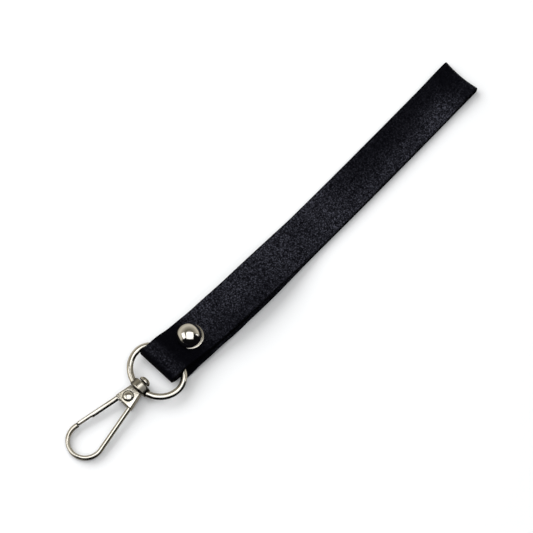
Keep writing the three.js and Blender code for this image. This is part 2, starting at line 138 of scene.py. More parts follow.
# ------------------------------------------------------------------ small helpers
def smooth(low, high, x):
    t = min(max((x - low) / (high - low), 0.0), 1.0)
    return t * t * (3 - 2 * t)


def steps(start, end, count):
    return [start + (end - start) * i / count for i in range(count + 1)]


def arc(cx, cy, radius, start, end, count):
    """Points on an arc, angles in degrees."""
    return [
        (cx + radius * math.cos(math.radians(a)), cy + radius * math.sin(math.radians(a)))
        for a in steps(start, end, count)
    ]


def rounded(points, radius, closed=False, count=4):
    """The outline again, with each corner turned into an arc of about that radius."""
    result = []
    total = len(points)
    for i, here in enumerate(points):
        if not closed and i in (0, total - 1):
            result.append(here)
            continue
        p = Vector(here)
        before, after = Vector(points[i - 1]), Vector(points[(i + 1) % total])
        reach = min(radius, (before - p).length * 0.45, (after - p).length * 0.45)
        a = p + (before - p).normalized() * reach
        b = p + (after - p).normalized() * reach
        for t in steps(0.0, 1.0, count):
            result.append(tuple(a * (1 - t) ** 2 + p * 2 * t * (1 - t) + b * t * t))
    return result


def add_object(name, data):
    obj = bpy.data.objects.new(name, data)
    bpy.context.scene.collection.objects.link(obj)
    return obj


def smooth_mesh(mesh, sharp_angle):
    mesh.shade_smooth()
    mesh.set_sharp_from_angle(angle=math.radians(sharp_angle))


def face_outwards(mesh, join_doubles):
    work = bmesh.new()
    work.from_mesh(mesh)
    if join_doubles:
        bmesh.ops.remove_doubles(work, verts=work.verts, dist=1e-7)
    bmesh.ops.recalc_face_normals(work, faces=work.faces)
    work.to_mesh(mesh)
    work.free()


def tube_faces(rings, size, closed=False):
    """Faces between rings of size points each, with an end cap at both ends unless closed."""
    faces = []
    for i in range(rings if closed else rings - 1):
        j = (i + 1) % rings
        for k in range(size):
            m = (k + 1) % size
            faces.append((i * size + k, i * size + m, j * size + m, j * size + k))
    if not closed:
        faces.append(tuple(reversed(range(size))))
        faces.append(tuple(range((rings - 1) * size, rings * size)))
    return faces


def object_from(name, vertices, faces, matrix=Matrix.Identity(4), smooth_angle=40):
    """A mesh object from millimetre vertices, placed by a matrix, with its faces pointing out."""
    mesh = bpy.data.meshes.new(name)
    mesh.from_pydata([matrix @ (Vector(v) * MM) for v in vertices], [], faces)
    face_outwards(mesh, join_doubles=True)
    smooth_mesh(mesh, smooth_angle)
    return add_object(name, mesh)


def lathe(name, profile, matrix, sides=96, squash=1.0):
    """Turns a profile of (radius, height) points about the matrix's Z axis; squash narrows its X."""
    vertices, faces = [], []
    for i in range(sides):
        a = 2 * math.pi * i / sides
        for radius, height in profile:
            vertices.append((radius * math.cos(a) * squash, radius * math.sin(a), height))
    rows = len(profile)
    for i in range(sides):
        j = (i + 1) % sides
        for k in range(rows - 1):
            faces.append((i * rows + k, j * rows + k, j * rows + k + 1, i * rows + k + 1))
    return object_from(name, vertices, faces, matrix)


def sweep(name, centres, sides_at, matrix, closed=False):
    """A tube through the centres; sides_at(i) gives the ring of points round centre i."""
    rings = [sides_at(i) for i in range(len(centres))]
    vertices = [p for ring in rings for p in ring]
    return object_from(name, vertices, tube_faces(len(rings), len(rings[0]), closed), matrix)


def prism(name, outline, low, high, matrix=Matrix.Identity(4)):
    """A flat outline in X-Y made into a plate from z = low to z = high."""
    size = len(outline)
    vertices = [(x, y, low) for x, y in outline] + [(x, y, high) for x, y in outline]
    faces = [tuple(reversed(range(size))), tuple(range(size, 2 * size))]
    for k in range(size):
        m = (k + 1) % size
        faces.append((k, m, m + size, k + size))
    return object_from(name, vertices, faces, matrix)


def cut(piece, *cutters):
    """Takes the cutters out of the piece, and removes them."""
    for cutter in cutters:
        modifier = piece.modifiers.new("cut", "BOOLEAN")
        modifier.operation = "DIFFERENCE"
        modifier.solver = "EXACT"
        modifier.object = cutter
        apply_modifiers(piece)
        bpy.data.objects.remove(cutter)


def apply_modifiers(piece):
    bpy.context.view_layer.update()
    evaluated = piece.evaluated_get(bpy.context.evaluated_depsgraph_get())
    mesh = bpy.data.meshes.new_from_object(evaluated)
    piece.modifiers.clear()
    piece.data = mesh


def soften(piece, width, segments=3, angle=30):
    """Rounds every edge sharper than the angle."""
    modifier = piece.modifiers.new("soften", "BEVEL")
    modifier.width = width * MM
    modifier.segments = segments
    modifier.limit_method = "ANGLE"
    modifier.angle_limit = math.radians(angle)
    modifier.harden_normals = False
    modifier.use_clamp_overlap = True
    apply_modifiers(piece)
    smooth_mesh(piece.data, angle)


def mark_painted_shade(piece, inside, matrix=Matrix.Identity(4)):
    """Marks the faces that get painted shade, 0 to 1, by their middles in the matrix's frame."""
    back = matrix.inverted()
    marks = [float(inside(back @ face.center / MM)) for face in piece.data.polygons]
    piece.data.attributes.new("painted_shade", "FLOAT", "FACE").data.foreach_set("value", marks)


def dress(piece, material, slot, body, *nodes):
    """Gives a finished piece its material and body, and hides the nodes that it stands for. Its record
    slot is not used.
    """
    piece.data.materials.clear()
    piece.data.materials.append(material)
    if body:
        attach(piece, body)
    if nodes:
        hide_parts(*nodes)


# ------------------------------------------------------------------ material nodes
class Nodes:
    """Fills a node tree: add() makes a node, and link() joins two sockets."""

    def __init__(self, tree):
        self.tree = tree

    def add(self, kind, **settings):
        node = self.tree.nodes.new(kind)
        for key, value in settings.items():
            setattr(node, key, value)
        return node

    def link(self, source, target):
        self.tree.links.new(source, target)

    def noise(self, vector, scale, detail=2.0, roughness=0.5):
        node = self.add("ShaderNodeTexNoise")
        node.inputs["Scale"].default_value = scale
        node.inputs["Detail"].default_value = detail
        node.inputs["Roughness"].default_value = roughness
        self.link(vector, node.inputs["Vector"])
        return node.outputs["Fac"]

    def ramp(self, factor, low, high):
        """Maps low..high of a factor to 0..1."""
        node = self.add("ShaderNodeMapRange")
        node.inputs["From Min"].default_value = low
        node.inputs["From Max"].default_value = high
        self.link(factor, node.inputs["Value"])
        return node.outputs["Result"]

    def scaled(self, factor, low, high):
        """Maps 0..1 of a factor to low..high."""
        node = self.add("ShaderNodeMapRange")
        node.inputs["To Min"].default_value = low
        node.inputs["To Max"].default_value = high
        self.link(factor, node.inputs["Value"])
        return node.outputs["Result"]

    def math(self, operation, a, b):
        node = self.add("ShaderNodeMath", operation=operation)
        for socket, value in zip(node.inputs, (a, b)):
            if isinstance(value, (int, float)):
                socket.default_value = value
            else:
                self.link(value, socket)
        return node.outputs["Value"]

    def mix(self, factor, a, b):
        node = self.add("ShaderNodeMix", data_type="RGBA")
        self.link(factor, node.inputs["Factor"])
        for socket, value in ((node.inputs[6], a), (node.inputs[7], b)):
            if isinstance(value, tuple):
                socket.default_value = (*value, 1.0)
            else:
                self.link(value, socket)
        return node.outputs[2]

    def bump(self, height, strength, distance, previous=None):
        node = self.add("ShaderNodeBump")
        node.inputs["Strength"].default_value = strength
        node.inputs["Distance"].default_value = distance
        self.link(height, node.inputs["Height"])
        if previous is not None:
            self.link(previous, node.inputs["Normal"])
        return node.outputs["Normal"]


class MaterialNodes(Nodes):
    """The node tree of a new material."""

    def __init__(self, name):
        self.material = bpy.data.materials.new(name)
        self.material.use_nodes = True
        super().__init__(self.material.node_tree)
        self.shader = self.tree.nodes["Principled BSDF"]


# The second grain colour is painted sheen: lit pebble tops that stand for the lamps' glints on the
# leather.
GRAIN_DARK, GRAIN_SHEEN = (0.0008, 0.0008, 0.0018), (0.064, 0.066, 0.087)
EDGE_PAINT = (0.0012, 0.0012, 0.0013)
# Painted shade: metal is darkened towards this colour in crevices that ambient occlusion finds within
# this reach, and on marked faces.
CREVICE_SHADE_COLOUR = (0.03, 0.027, 0.021)
CREVICE_REACH = 2.4 * MM


def leather_material(name):
    """Black pebbled leather, with painted sheen and painted shade in the grain's colour. The strip's
    flat coordinates keep the grain still in every pose.
    """
    n = MaterialNodes(name)
    place = n.add("ShaderNodeAttribute", attribute_name="strip").outputs["Vector"]
    edge = n.add("ShaderNodeAttribute", attribute_name="edge").outputs["Fac"]
    painted_sheen = n.add("ShaderNodeAttribute", attribute_name="painted_sheen").outputs["Fac"]
    pebbles = n.add("ShaderNodeTexVoronoi", feature="F1")
    pebbles.inputs["Scale"].default_value = 1250
    n.link(place, pebbles.inputs["Vector"])
    fine = n.noise(place, scale=2100, detail=3.0, roughness=0.7)
    creases = n.noise(place, scale=520, detail=3.0, roughness=0.6)
    wide = n.noise(place, scale=60)

    dimples = n.math("MULTIPLY", pebbles.outputs["Distance"], -0.9)
    grain = n.math("ADD", dimples, n.math("MULTIPLY", fine, 0.8))
    grain = n.math("ADD", grain, n.math("MULTIPLY", creases, 1.2))
    raised = n.math("ADD", fine, n.math("MULTIPLY", pebbles.outputs["Distance"], -0.25))
    tops = n.ramp(raised, 0.22, 0.56)
    # Painted sheen: the pebble tops are lightened by the painted sheen mask, not by the lamps.
    sheen_on_tops = n.math("MULTIPLY", n.math("POWER", tops, 2.2), painted_sheen)
    sheen_on_tops = n.math("MULTIPLY", sheen_on_tops, n.scaled(n.ramp(wide, 0.3, 0.7), 0.75, 1.2))
    face = n.mix(sheen_on_tops, GRAIN_DARK, GRAIN_SHEEN)
    n.link(n.mix(edge, face, EDGE_PAINT), n.shader.inputs["Base Color"])
    n.link(n.scaled(n.ramp(creases, 0.3, 0.7), 0.3, 0.44), n.shader.inputs["Roughness"])
    n.link(n.bump(grain, strength=1.0, distance=0.2 * MM), n.shader.inputs["Normal"])
    n.shader.inputs["Specular IOR Level"].default_value = 0.02
    n.shader.inputs["Specular Tint"].default_value = (0.84, 0.87, 1.0, 1.0)
    return n.material


def metal_material(name, colour, tarnish, roughness, pitting):
    """Plated metal: worn gloss, hairlines, pits, patchy tarnish, and painted shade darkening its
    crevices and marked faces.
    """
    n = MaterialNodes(name)
    place = n.add("ShaderNodeTexCoord").outputs["Object"]
    broad = n.noise(place, scale=240)
    pits = n.noise(place, scale=1500, detail=3.0, roughness=0.6)
    stretch = n.add("ShaderNodeMapping")
    stretch.inputs["Scale"].default_value = (0.15, 1.0, 1.0)
    n.link(place, stretch.inputs["Vector"])
    hairlines = n.noise(stretch.outputs["Vector"], scale=4200, roughness=0.7)
    crevice = n.add("ShaderNodeAmbientOcclusion", samples=8)
    crevice.inputs["Distance"].default_value = CREVICE_REACH
    plate = n.mix(n.ramp(broad, 0.4, 0.75), colour, tarnish)
    painted_shade = n.add("ShaderNodeAttribute", attribute_name="painted_shade").outputs["Fac"]
    # Painted shade: occlusion and the marked faces pull the plate's colour towards the dark crevice
    # colour.
    open_air = n.math("MULTIPLY", n.ramp(crevice.outputs["AO"], 0.42, 0.82), n.scaled(painted_shade, 1, 0.08))
    n.link(n.mix(open_air, CREVICE_SHADE_COLOUR, plate), n.shader.inputs["Base Color"])
    gloss = n.scaled(n.ramp(pits, 0.35, 0.75), roughness * 0.8, roughness * 1.5)
    n.link(gloss, n.shader.inputs["Roughness"])
    n.shader.inputs["Metallic"].default_value = 1.0
    waves = n.bump(n.ramp(pits, 0.3, 0.7), strength=pitting, distance=0.06 * MM)
    n.link(n.bump(hairlines, 0.02, 0.02 * MM, waves), n.shader.inputs["Normal"])
    return n.material


LEATHER_MATERIAL = leather_material("black_leather")
NICKEL = metal_material("polished_nickel", (0.80, 0.77, 0.70), (0.68, 0.64, 0.56), 0.13, 0.05)
CAST_NICKEL = metal_material("cast_nickel", (0.78, 0.75, 0.68), (0.50, 0.46, 0.37), 0.17, 0.34)
RIVET_NICKEL = metal_material("rivet_nickel", (0.82, 0.80, 0.75), (0.76, 0.73, 0.66), 0.09, 0.01)
SPRING = metal_material("spring_wire", (0.55, 0.54, 0.50), (0.45, 0.43, 0.40), 0.3, 0.05)


# ------------------------------------------------------------------ leather strip
def catmull(points, x):
    """A smooth curve through (x, y) points, read at x."""
    xs = [p[0] for p in points]
    i = min(max(next((k for k, v in enumerate(xs) if v > x), len(xs) - 1), 1), len(xs) - 1)
    p0, p1 = points[max(i - 2, 0)], points[i - 1]
    p2, p3 = points[i], points[min(i + 1, len(points) - 1)]
    t = min(max((x - p1[0]) / (p2[0] - p1[0]), 0.0), 1.0)
    span = p2[0] - p1[0]
    m1 = (p2[1] - p0[1]) / (p2[0] - p0[0]) * span
    m2 = (p3[1] - p1[1]) / (p3[0] - p1[0]) * span
    return (
        (2 * t**3 - 3 * t**2 + 1) * p1[1] + (t**3 - 2 * t**2 + t) * m1
        + (-2 * t**3 + 3 * t**2) * p2[1] + (t**3 - t**2) * m2
    )


# Sideways drift of the strap as it lies, from the fold round the eye to the far fold.
DRIFT = [
    (FOLD_X - 1, 1.8), (FOLD_X + 9, 1.25), (RIVET.x, 0.45), (-30, -0.85), (-13, -1.2),
    (10, -0.6), (45, -0.1), (80, 0.65), (FAR_X, 1.6),
]


def bottom_run_z(x):
    stack_end = RIVET.x + STACK_HALF
    lift = STACK_BASE_Z * (1 - smooth(stack_end, stack_end + RUN_OFF, x))
    droop = END_DROOP * (1 - smooth(WIRE_X, RIVET.x - STACK_HALF, x))
    return LEATHER / 2 + lift - droop


def top_run_z(x):
    closed_z = 1.5 * LEATHER + LAYER_GAP
    stack_end = RIVET.x + STACK_HALF
    lens = TOP_Z + LENS_RISE * smooth(stack_end, stack_end + RUN_OFF, x)
    closing = (TOP_Z + LENS_RISE - closed_z) * smooth(*CLOSING, x)
    far_lift = (FAR_FOLD_HEIGHT - LEATHER / 2 - closed_z) * smooth(*FAR_LIFT, x)
    return lens - closing + far_lift


def tail_z(x):
    return TAIL_Z + TAIL_RISE * smooth(RIVET.x + STACK_HALF, TAIL_END_X, x)


def over_eye_z(x):
    """The top run's centre as it climbs over the eye's wire."""
    return top_run_z(x) + (WIRE_Z + NOSE_RADIUS - LEATHER / 2 - TOP_Z) * (1 - smooth(*TAB_SLOPE, x))


def under_eye_z(x):
    """The tail's centre where it comes back from under the eye's wire."""
    nose_z = WIRE_Z - NOSE_RADIUS + LEATHER / 2
    return nose_z + (TAIL_Z - nose_z) * smooth(WIRE_X, HINGE.x, x)


FOLD_RADIUS = (FAR_FOLD_HEIGHT - LEATHER) / 2
FAR_CENTRE = (FAR_X - LEATHER / 2 - FOLD_RADIUS, LEATHER / 2 + FOLD_RADIUS)


def lower_route():
    """Centre of the bottom run, from its cut end to the middle of the far fold's underside."""
    return [(x, bottom_run_z(x)) for x in steps(CUT_END_X, FAR_CENTRE[0], 130)]


def upper_route():
    """Centre of the rest: far fold, top run, fold round the eye, and tail."""
    far_fold = arc(*FAR_CENTRE, FOLD_RADIUS, -90, 90, 14)
    top = [(x, over_eye_z(x)) for x in steps(FAR_CENTRE[0], HINGE.x, 150)][1:]
    tab = steps(HINGE.x, NOSE_X, 16)[1:-1]
    over = [(x, over_eye_z(x)) for x in tab]
    nose = arc(NOSE_X, WIRE_Z, NOSE_RADIUS - LEATHER / 2, 90, 270, 18)
    under = [(x, under_eye_z(x)) for x in reversed(tab)]
    tail = [(x, tail_z(x)) for x in steps(HINGE.x, TAIL_END_X, 24)]
    return far_fold + top + over + nose + under + tail


def settle(x, y, z, skew):
    """How the leather lies: its drift, the far fold's hollow edge and the bottom run's skew."""
    across = (y - STRAP_Y) / (STRAP_WIDTH / 2)
    far = smooth(FAR_X - 10, FAR_X, x)
    x -= FAR_HOLLOW * far * (1 - across * across)
    y += catmull(DRIFT, x) - skew * (1 - smooth(*SKEW_FADE, x))
    return x, y, z


# Where sheen and shade are painted into the grain: stretches of x, and of the strap's width from -1 to
# 1.
SHINE_STARTS, SHINE_FADES, FADE_DEPTH = (-51, -38), (101, 109), 0.65
# Painted shade near the rivet and towards the far end darkens the grain in these stretches.
NEAR_SHADE_ENDS, NEAR_SHADE_SIDE, NEAR_SHADE_DEPTH = (-16, -3), (-0.6, 0), 0.42
FAR_SHADE_STARTS, FAR_SHADE_SIDE, FAR_SHADE_DEPTH = (22, 62), (-1, 0.5), 0.78
# A painted sheen patch, a painted sheen band on the tab, and a painted highlight along the far fold's
# rim.
PATCH_STARTS, PATCH_ENDS, PATCH_SIDE, PATCH_SHINE = (82, 95), (97, 105), (-0.6, 0.5), 0.5
TAB_STARTS, TAB_ENDS = (FOLD_X + 0.8, FOLD_X + 3.5), (FOLD_X + 4, FOLD_X + 10)
TAB_SHINE, LEAST_SHINE = 0.45, 0.03
RIM_STARTS = (FAR_X - 1.4, FAR_X - 0.5)


def sheen_and_shade_painted(x, across):
    """How much painted sheen lights the grain: most along the middle, little at the ends, with painted
    shade near the rivet and towards the far end, a painted sheen patch and tab band, and a painted
    highlight at the far fold's rim.
    """
    side = across / (STRAP_WIDTH / 2)
    middle = smooth(*SHINE_STARTS, x) * (1 - FADE_DEPTH * smooth(*SHINE_FADES, x))
    near_shade = (1 - smooth(*NEAR_SHADE_ENDS, x)) * (1 - smooth(*NEAR_SHADE_SIDE, side))
    far_shade = smooth(*FAR_SHADE_STARTS, x) * smooth(*FAR_SHADE_SIDE, side)
    in_patch = smooth(*PATCH_STARTS, x) * (1 - smooth(*PATCH_ENDS, x))
    patch = PATCH_SHINE * in_patch * (1 - smooth(*PATCH_SIDE, side))
    tab = TAB_SHINE * smooth(*TAB_STARTS, x) * (1 - smooth(*TAB_ENDS, x))
    shaded_sheen = middle * (1 - NEAR_SHADE_DEPTH * near_shade) * (1 - FAR_SHADE_DEPTH * far_shade)
    return max(shaded_sheen + patch, tab, smooth(*RIM_STARTS, x), LEAST_SHINE)


def edge_section(half_width, half, corner, columns):
    """(across, out, edge) points along one face of the section and round the edge beside it."""
    flat = half_width - corner
    face = [(-flat + 2 * flat * i / columns, half, 0.0) for i in range(columns + 1)]
    side = [(flat + corner * math.sin(a), half - corner + corner * math.cos(a), 1.0)
            for a in (math.radians(d) for d in (30, 60, 90))]
    return face + side


def strip_piece(name, route, along_from, skew):
    """A leather strip through the route's (x, z) points, with burnished round edges."""
    upper_half = edge_section(STRAP_WIDTH / 2, LEATHER / 2, EDGE_CORNER, 14)
    section = upper_half + [(-a, -o, e) for a, o, e in upper_half]
    points = [Vector(p) for p in route]
    along, length = [], along_from
    for i, p in enumerate(points):
        length += (p - points[i - 1]).length if i else 0.0
        along.append(length)
    vertices, strip, edge, painted_sheen = [], [], [], []
    for i, p in enumerate(points):
        ahead = points[min(i + 1, len(points) - 1)]
        behind = points[max(i - 1, 0)]
        tangent = (ahead - behind).normalized()
        normal = Vector((-tangent.y, tangent.x))
        for across, out, rim in section:
            place = p - normal * out
            vertices.append(settle(place.x, STRAP_Y + across, place.y, skew))
            strip.append((across * MM, along[i] * MM, out * MM))
            edge.append(rim)
            # Painted sheen and shade, kept per point for the leather's colour.
            painted_sheen.append(sheen_and_shade_painted(place.x, across))
    mesh = bpy.data.meshes.new(name)
    mesh.from_pydata([Vector(v) * MM for v in vertices], [], tube_faces(len(points), len(section)))
    mesh.attributes.new("strip", "FLOAT_VECTOR", "POINT").data.foreach_set(
        "vector", np.array(strip, np.float32).ravel()
    )
    for title, values in (("edge", edge), ("painted_sheen", painted_sheen)):
        mesh.attributes.new(title, "FLOAT", "POINT").data.foreach_set(
            "value", np.array(values, np.float32)
        )
    face_outwards(mesh, join_doubles=False)
    smooth_mesh(mesh, 50)
    return add_object(name, mesh), length - along_from


def leather_strip():
    lower, lower_length = strip_piece("strap_lower_run", lower_route(), 0.0, BOTTOM_SKEW)
    upper, upper_length = strip_piece("strap_upper_run", upper_route(), lower_length, 0.0)
    dress(lower, LEATHER_MATERIAL, "leather", "strap")
    dress(upper, LEATHER_MATERIAL, "leather", None, "strap_loop", "strap_tail", "ring_tab")
    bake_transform(upper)


# ------------------------------------------------------------------ cap rivet
DOME_RADIUS, DOME_FOOT = 5.2, 0.5  # the dome springs from a low foot
FLANGE_RADIUS, FLANGE_BORE, FLANGE_THICKNESS = 5.4, 1.7, 0.55
FLANGE_AT = Vector((RIVET.x - 0.36, RIVET.y + 0.52))
CAP_LEAN = Vector((-0.35, 0.45))  # the cap was pressed on slightly off the flange's centre


def rivet_pieces():
    base = DOME_LOW.z
    at = Matrix.Translation(FLANGE_AT.to_3d() * MM)
    leaning = Matrix.Translation((FLANGE_AT + CAP_LEAN).to_3d() * MM)
    foot = base + DOME_FOOT
    dome = [(DOME_RADIUS - 0.5, base + 0.12), (DOME_RADIUS - 0.1, base + 0.2)]
    dome += arc(0, foot, DOME_RADIUS, 0, 90, 28)
    dome[-1] = (0, foot + DOME_RADIUS)
    dress(lathe("rivet_cap", dome, leaning, 128), RIVET_NICKEL, "nickel", "strap", "rivet_dome")
    top = base + FLANGE_THICKNESS
    flange = rounded(
        [(FLANGE_BORE, base), (FLANGE_RADIUS, base), (FLANGE_RADIUS, top), (FLANGE_BORE, top)],
        0.28, closed=True)
    flange.append(flange[0])
    dress(lathe("rivet_flange", flange, at, 128), NICKEL, "nickel", "strap")
    back = rounded(
        [(0, 0), (2.4, 0.06), (3.6, 0.3), (4.4, 0.75), (4.7, 1.3), (4.7, CAP_HIGH.z),
         (4.2, CAP_HIGH.z), (4.2, 1.1), (3.4, 0.75), (2.2, 0.5), (0, 0.45)], 0.4)
    dress(lathe("rivet_back", back, at, 128), NICKEL, "nickel", "strap", "rivet_back_cap")


# ------------------------------------------------------------------ swivel eye and pin
BOSS_FROM, BOSS_TO, BOSS_RADIUS = 4.6, 7.9, 4.15
BOSS_SQUASH = 0.76  # the boss is flatter than it is wide
BOSS_LIT_Y = 0.9  # the flanks to each side of this line are painted darker as shade
SWIVEL_RADIUS, SWIVEL_CLEARANCE = 1.1, 0.3
SWIVEL_HEAD_RADIUS, SWIVEL_HEAD_GAP = 2.4, 0.7
TO_X = Matrix.Rotation(math.pi / 2, 4, "Y")  # turns a lathe's axis onto +X


def eye_point(angle):
    reach = EYE_BACK if math.cos(angle) > 0 else EYE_FRONT
    radius = 1 / math.hypot(math.cos(angle) / reach, math.sin(angle) / EYE_HALF_WIDTH)
    return Vector((EYE_FROM_PIN + radius * math.cos(angle), radius * math.sin(angle) - CLASP_Y, 0))


def swivel_eye():
    count = 220
    centres = [eye_point(2 * math.pi * i / count) for i in range(count)]

    def ring(i):
        along = (centres[(i + 1) % count] - centres[i - 1]).normalized()
        outward = Vector((along.y, -along.x, 0))
        return [
            centres[i] + WIRE_RADIUS * (outward * math.cos(a) + Vector((0, 0, math.sin(a))))
            for a in (2 * math.pi * k / 24 for k in range(24))
        ]

    wire = sweep("eye_wire", centres, ring, CLASP, closed=True)
    dress(wire, NICKEL, "nickel", "eye", "swivel_eye")
    bore = SWIVEL_RADIUS + SWIVEL_CLEARANCE
    profile = rounded(
        [(bore, BOSS_FROM), (3.95, BOSS_FROM), (BOSS_RADIUS, BOSS_FROM + 0.3),
         (BOSS_RADIUS, BOSS_TO - 0.45), (3.8, BOSS_TO), (bore, BOSS_TO)],
        0.2, closed=True)
    profile.append(profile[0])
    place = CLASP @ Matrix.Translation((0, -CLASP_Y * MM, 0)) @ TO_X
    boss = lathe("eye_boss", profile, place, 96, squash=BOSS_SQUASH)
    # Painted shade on the boss's flanks, away from its lit top band.
    mark_painted_shade(boss, lambda middle: 0.9 * smooth(0.9, 2.2, abs(middle.y - BOSS_LIT_Y)), place)
    dress(boss, CAST_NICKEL, "nickel", "eye")


def swivel_pin():
    head = BOSS_TO + SWIVEL_HEAD_GAP
    profile = rounded(
        [(0, 1.9), (1.2, 1.9), (1.2, 2.2), (SWIVEL_RADIUS, 2.2), (SWIVEL_RADIUS, head),
         (SWIVEL_HEAD_RADIUS, head), (SWIVEL_HEAD_RADIUS, head + 0.7), (1.85, head + 1.45),
         (1.0, head + 1.85), (0, head + 1.95)], 0.25)
    pin = lathe("swivel_pin_headed", profile, CLASP @ TO_X, 64)
    # Painted shade on the head's underside, which faces the boss.
    mark_painted_shade(pin, lambda middle: middle.z < head + 0.12, CLASP @ TO_X)
    dress(pin, CAST_NICKEL, "nickel", "hook", "swivel_pin")


# ------------------------------------------------------------------ hook
BAR_WIDTH, BAR_HEIGHT = 1.6, 3.2
CHEEK_HEIGHT, SLOT_HEIGHT, SLOT_END_X = 4.6, 3.0, 2.3
LOOP_CENTRE_X, LOOP_RADIUS = -24.2, 7.2
NOSE_ANGLE, NOSE_RELIEF = 72, 1.8  # the nose's end face is eased back from the gate's tip
BLOCK_TOP_X, BLOCK_FOOT_X = 4.05, -3.1
BLOCK_TOP_HALF, BLOCK_FOOT_HALF = 2.65, 4.2
BAR_INNER_Y = -2.5
BAR_CROWN, BAR_INSET = 0.45, 0.35
HINGE_PIN_RADIUS, HEAD_RADIUS, HEAD_CROWN = 0.75, 2.0, 0.95
HEAD_RIM = 0.12  # height of the head's rim above the cheek
SEAT_RADIUS, SEAT_MOUTH, SEAT_DEPTH = 2.2, 2.45, 0.4
PAST_BLOCK = 12  # how far the slot's cutter runs past the block
NEAR = 0.02  # how close to a surface still counts as on it
TONGUE_HALF_WIDTH, TONGUE_BACK, TONGUE_AHEAD = 0.75, -0.4, 0.52
TONGUE_LOW, TONGUE_HIGH = -0.9, 1.0


def tangent_angle(x, y):
    """Degrees from +X at which a line from the point meets the round end without a kink."""
    to_centre = math.atan2(abs(y), x - LOOP_CENTRE_X)
    return math.degrees(to_centre + math.acos(LOOP_RADIUS / math.hypot(LOOP_CENTRE_X - x, y)))


def bar_section(width, height, corner):
    """A rounded rectangle as (across, up) points, with a slightly crowned top and bottom."""
    w, h = width / 2, height / 2
    side = h - BAR_CROWN
    upper = rounded([(-w, 0), (-w, side), (0, h), (w, side), (w, 0)], corner, count=5)
    lower = [(x, -y) for x, y in reversed(upper)]
    return upper[1:-1] + lower[1:-1]


def hook_bar():
    bar_y = -(BLOCK_FOOT_HALF - BAR_INSET - BAR_WIDTH / 2)
    start = (BLOCK_FOOT_X + 2.6, bar_y + 0.2)
    foot = (BLOCK_FOOT_X + 1.5, bar_y)
    lower = tangent_angle(*foot)
    loop = arc(LOOP_CENTRE_X, 0, LOOP_RADIUS, -lower, NOSE_ANGLE + NOSE_RELIEF - 360, 72)
    straight = [Vector(foot).lerp(Vector(loop[0]), t) for t in steps(0, 1, 24)]
    points = [Vector(start)] + straight[:-1] + [Vector(p) for p in loop]
    section = bar_section(BAR_WIDTH, BAR_HEIGHT, 0.5)

    def ring(i):
        ahead = points[min(i + 1, len(points) - 1)]
        along = (ahead - points[max(i - 1, 0)]).normalized()
        across = Vector((-along.y, along.x))
        return [(*(points[i] + across * a), up) for a, up in section]

    bar = sweep("hook_bar", points, ring, CLASP)
    soften(bar, 0.12, 2, 50)
    dress(bar, NICKEL, "nickel", "hook", "hook_body")


def gets_painted_shade(place):
    """Whether a place on the block is on its foot or in the slot between the cheeks, which get painted
    shade.
    """
    in_slot = (abs(place.z) < SLOT_HEIGHT / 2 + NEAR and place.x < SLOT_END_X + NEAR
               and place.y > BAR_INNER_Y - NEAR)
    return in_slot or place.x < BLOCK_FOOT_X + 0.1


def hook_block():
    block = prism("hook_block", [
        (BLOCK_TOP_X, -BLOCK_TOP_HALF), (BLOCK_TOP_X, BLOCK_TOP_HALF),
        (BLOCK_FOOT_X, BLOCK_FOOT_HALF - 0.2), (BLOCK_FOOT_X, -BLOCK_FOOT_HALF),
    ], -CHEEK_HEIGHT / 2, CHEEK_HEIGHT / 2)
    slot = prism("slot", [
        (SLOT_END_X - PAST_BLOCK, BAR_INNER_Y), (SLOT_END_X, BAR_INNER_Y),
        (SLOT_END_X, PAST_BLOCK), (SLOT_END_X - PAST_BLOCK, PAST_BLOCK),
    ], -SLOT_HEIGHT / 2, SLOT_HEIGHT / 2)
    cut(block, slot)
    soften(block, 0.32, 4)
    top = CHEEK_HEIGHT / 2
    seat = lathe("seat", [
        (0, top - SEAT_DEPTH), (SEAT_RADIUS, top - SEAT_DEPTH), (SEAT_MOUTH, top + 0.3), (0, top + 0.3),
    ], Matrix.Identity(4), 64)
    cut(block, seat)
    # Painted shade on the block's foot and inside its slot between the cheeks.
    mark_painted_shade(block, gets_painted_shade)
    block.data.transform(CLASP)
    smooth_mesh(block.data, 35)
    dress(block, CAST_NICKEL, "nickel", "hook")


def gate_hinge_pin():
    top, r = CHEEK_HEIGHT / 2, HINGE_PIN_RADIUS
    rim = top + HEAD_RIM
    profile = [(0, -top - 0.6)] + rounded(
        [(1.3, -top - 0.6), (1.5, -top - 0.05), (r, -top - 0.05), (r, top - 0.34),
         (HEAD_RADIUS, top - 0.34), (HEAD_RADIUS, rim)], 0.12)[1:]
    profile += [
        (HEAD_RADIUS * math.cos(a), rim + HEAD_CROWN * math.sin(a))
        for a in (math.radians(d) for d in range(8, 91, 8))
    ]
    profile.append((0, rim + HEAD_CROWN))
    pin = lathe("gate_pin_domed", profile, CLASP, 72)
    dress(pin, NICKEL, "nickel", "hook", "gate_hinge_pin")


def nose_tongue():
    """The nose's lower step, which closes the gap in front of the gate's tip."""
    a = math.radians(NOSE_ANGLE + NOSE_RELIEF)
    nose = Vector((LOOP_CENTRE_X + LOOP_RADIUS * math.cos(a), LOOP_RADIUS * math.sin(a)))
    ahead = Vector((math.sin(a), -math.cos(a)))
    across = Vector((math.cos(a), math.sin(a))) * TONGUE_HALF_WIDTH
    corners = ((-1, TONGUE_BACK), (-1, TONGUE_AHEAD), (1, TONGUE_AHEAD), (1, TONGUE_BACK))
    outline = [tuple(nose + across * side + ahead * reach) for side, reach in corners]
    tongue = prism("nose_tongue", outline, TONGUE_LOW, TONGUE_HIGH)
    soften(tongue, 0.12, 2)
    # Painted shade over the whole tongue, which stands in the gap's shadow.
    mark_painted_shade(tongue, lambda middle: True)
    tongue.data.transform(CLASP)
    dress(tongue, CAST_NICKEL, "nickel", "hook")


